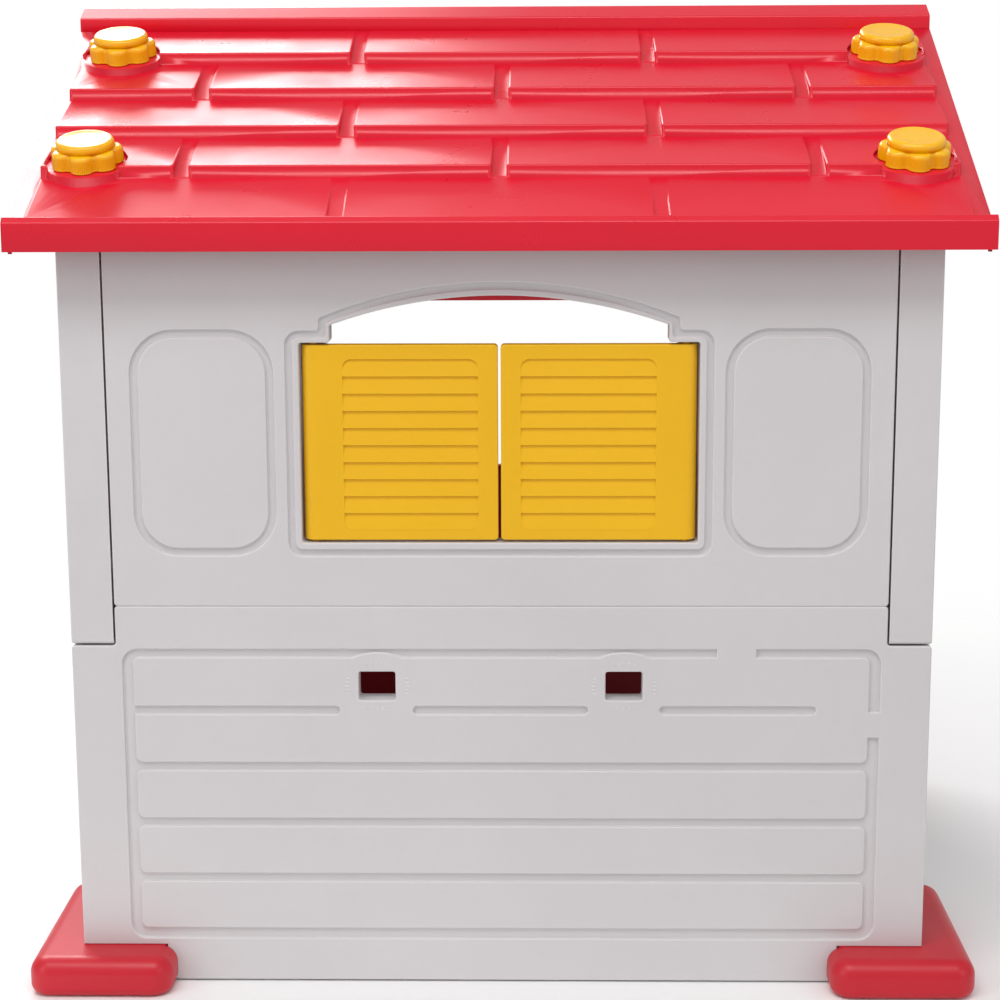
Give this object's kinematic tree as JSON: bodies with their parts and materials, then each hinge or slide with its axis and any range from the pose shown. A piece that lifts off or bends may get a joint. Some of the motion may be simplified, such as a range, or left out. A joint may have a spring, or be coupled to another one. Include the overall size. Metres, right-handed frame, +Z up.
{
  "type": "playhouse",
  "caption": "Plastic garden playhouse with interlocking walls, louvred window shutters, a rear half door, corner feet and a tiled roof held on by lobed hand knobs.",
  "frame": {"origin": "centre of the four feet's footprint, on the ground", "axes": "+X along the ridge, from left to right seen from the window side; +Y from the window side towards the doorway side; +Z up"},
  "size_m": [1.038, 0.896, 1.0759],
  "materials": {
    "white_wall": "fine moulded texture",
    "red_roof": "glossy",
    "red_foot": "satin",
    "red_door": "satin",
    "yellow_shutter": "satin",
    "yellow_knob": "glossy",
    "steel_screw": "zinc plated"
  },
  "bodies": {
    "house": {"front_lower_wall": "white_wall", "front_upper_wall": "white_wall", "rear_lower_wall": "white_wall", "rear_upper_wall": "white_wall", "left_lower_wall": "white_wall", "right_lower_wall": "white_wall", "left_gable_wall": "white_wall", "right_gable_wall": "white_wall", "roof_front_panel": "red_roof", "roof_rear_panel": "red_roof", "ridge_cap": "red_roof", "foot_front_left": "red_foot", "foot_front_right": "red_foot", "foot_rear_left": "red_foot", "foot_rear_right": "red_foot", "corner_screws": "steel_screw", "gable_screws": "steel_screw", "foot_screws": "steel_screw"},
    "shutter_left": {"shutter_left": "yellow_shutter"},
    "shutter_right": {"shutter_right": "yellow_shutter"},
    "half_door": {"half_door": "red_door"},
    "roof_knob_front_lower_left": {"roof_knob_front_lower_left": "yellow_knob"},
    "roof_knob_front_upper_left": {"roof_knob_front_upper_left": "yellow_knob"},
    "roof_knob_rear_upper_left": {"roof_knob_rear_upper_left": "yellow_knob"},
    "roof_knob_rear_lower_left": {"roof_knob_rear_lower_left": "yellow_knob"},
    "roof_knob_front_lower_right": {"roof_knob_front_lower_right": "yellow_knob"},
    "roof_knob_front_upper_right": {"roof_knob_front_upper_right": "yellow_knob"},
    "roof_knob_rear_upper_right": {"roof_knob_rear_upper_right": "yellow_knob"},
    "roof_knob_rear_lower_right": {"roof_knob_rear_lower_right": "yellow_knob"}
  },
  "joints": [
    {"name": "shutter_left_hinge", "type": "hinge", "parent": "house", "child": "shutter_left", "pos_m": [-0.198, -0.383, 0.60775], "axis": [0, 0, -1], "range_deg": [0, 95]},
    {"name": "shutter_right_hinge", "type": "hinge", "parent": "house", "child": "shutter_right", "pos_m": [0.198, -0.383, 0.60775], "axis": [0, 0, 1], "range_deg": [0, 95]},
    {"name": "half_door_hinge", "type": "hinge", "parent": "house", "child": "half_door", "pos_m": [-0.246, 0.383, 0.23875], "axis": [0, 0, 1], "range_deg": [0, 95]},
    {"name": "roof_knob_front_lower_left_turn", "type": "hinge", "parent": "house", "child": "roof_knob_front_lower_left", "pos_m": [-0.4425, -0.327, 0.90165], "axis": [0, -0.319, 0.9478], "continuous": true},
    {"name": "roof_knob_front_upper_left_turn", "type": "hinge", "parent": "house", "child": "roof_knob_front_upper_left", "pos_m": [-0.4425, -0.105, 1.0168], "axis": [0, -0.319, 0.9478], "continuous": true},
    {"name": "roof_knob_rear_upper_left_turn", "type": "hinge", "parent": "house", "child": "roof_knob_rear_upper_left", "pos_m": [-0.4425, 0.105, 1.0168], "axis": [0, 0.319, 0.9478], "continuous": true},
    {"name": "roof_knob_rear_lower_left_turn", "type": "hinge", "parent": "house", "child": "roof_knob_rear_lower_left", "pos_m": [-0.4425, 0.327, 0.90165], "axis": [0, 0.319, 0.9478], "continuous": true},
    {"name": "roof_knob_front_lower_right_turn", "type": "hinge", "parent": "house", "child": "roof_knob_front_lower_right", "pos_m": [0.4425, -0.327, 0.90165], "axis": [0, -0.319, 0.9478], "continuous": true},
    {"name": "roof_knob_front_upper_right_turn", "type": "hinge", "parent": "house", "child": "roof_knob_front_upper_right", "pos_m": [0.4425, -0.105, 1.0168], "axis": [0, -0.319, 0.9478], "continuous": true},
    {"name": "roof_knob_rear_upper_right_turn", "type": "hinge", "parent": "house", "child": "roof_knob_rear_upper_right", "pos_m": [0.4425, 0.105, 1.0168], "axis": [0, 0.319, 0.9478], "continuous": true},
    {"name": "roof_knob_rear_lower_right_turn", "type": "hinge", "parent": "house", "child": "roof_knob_rear_lower_right", "pos_m": [0.4425, 0.327, 0.90165], "axis": [0, 0.319, 0.9478], "continuous": true}
  ]
}
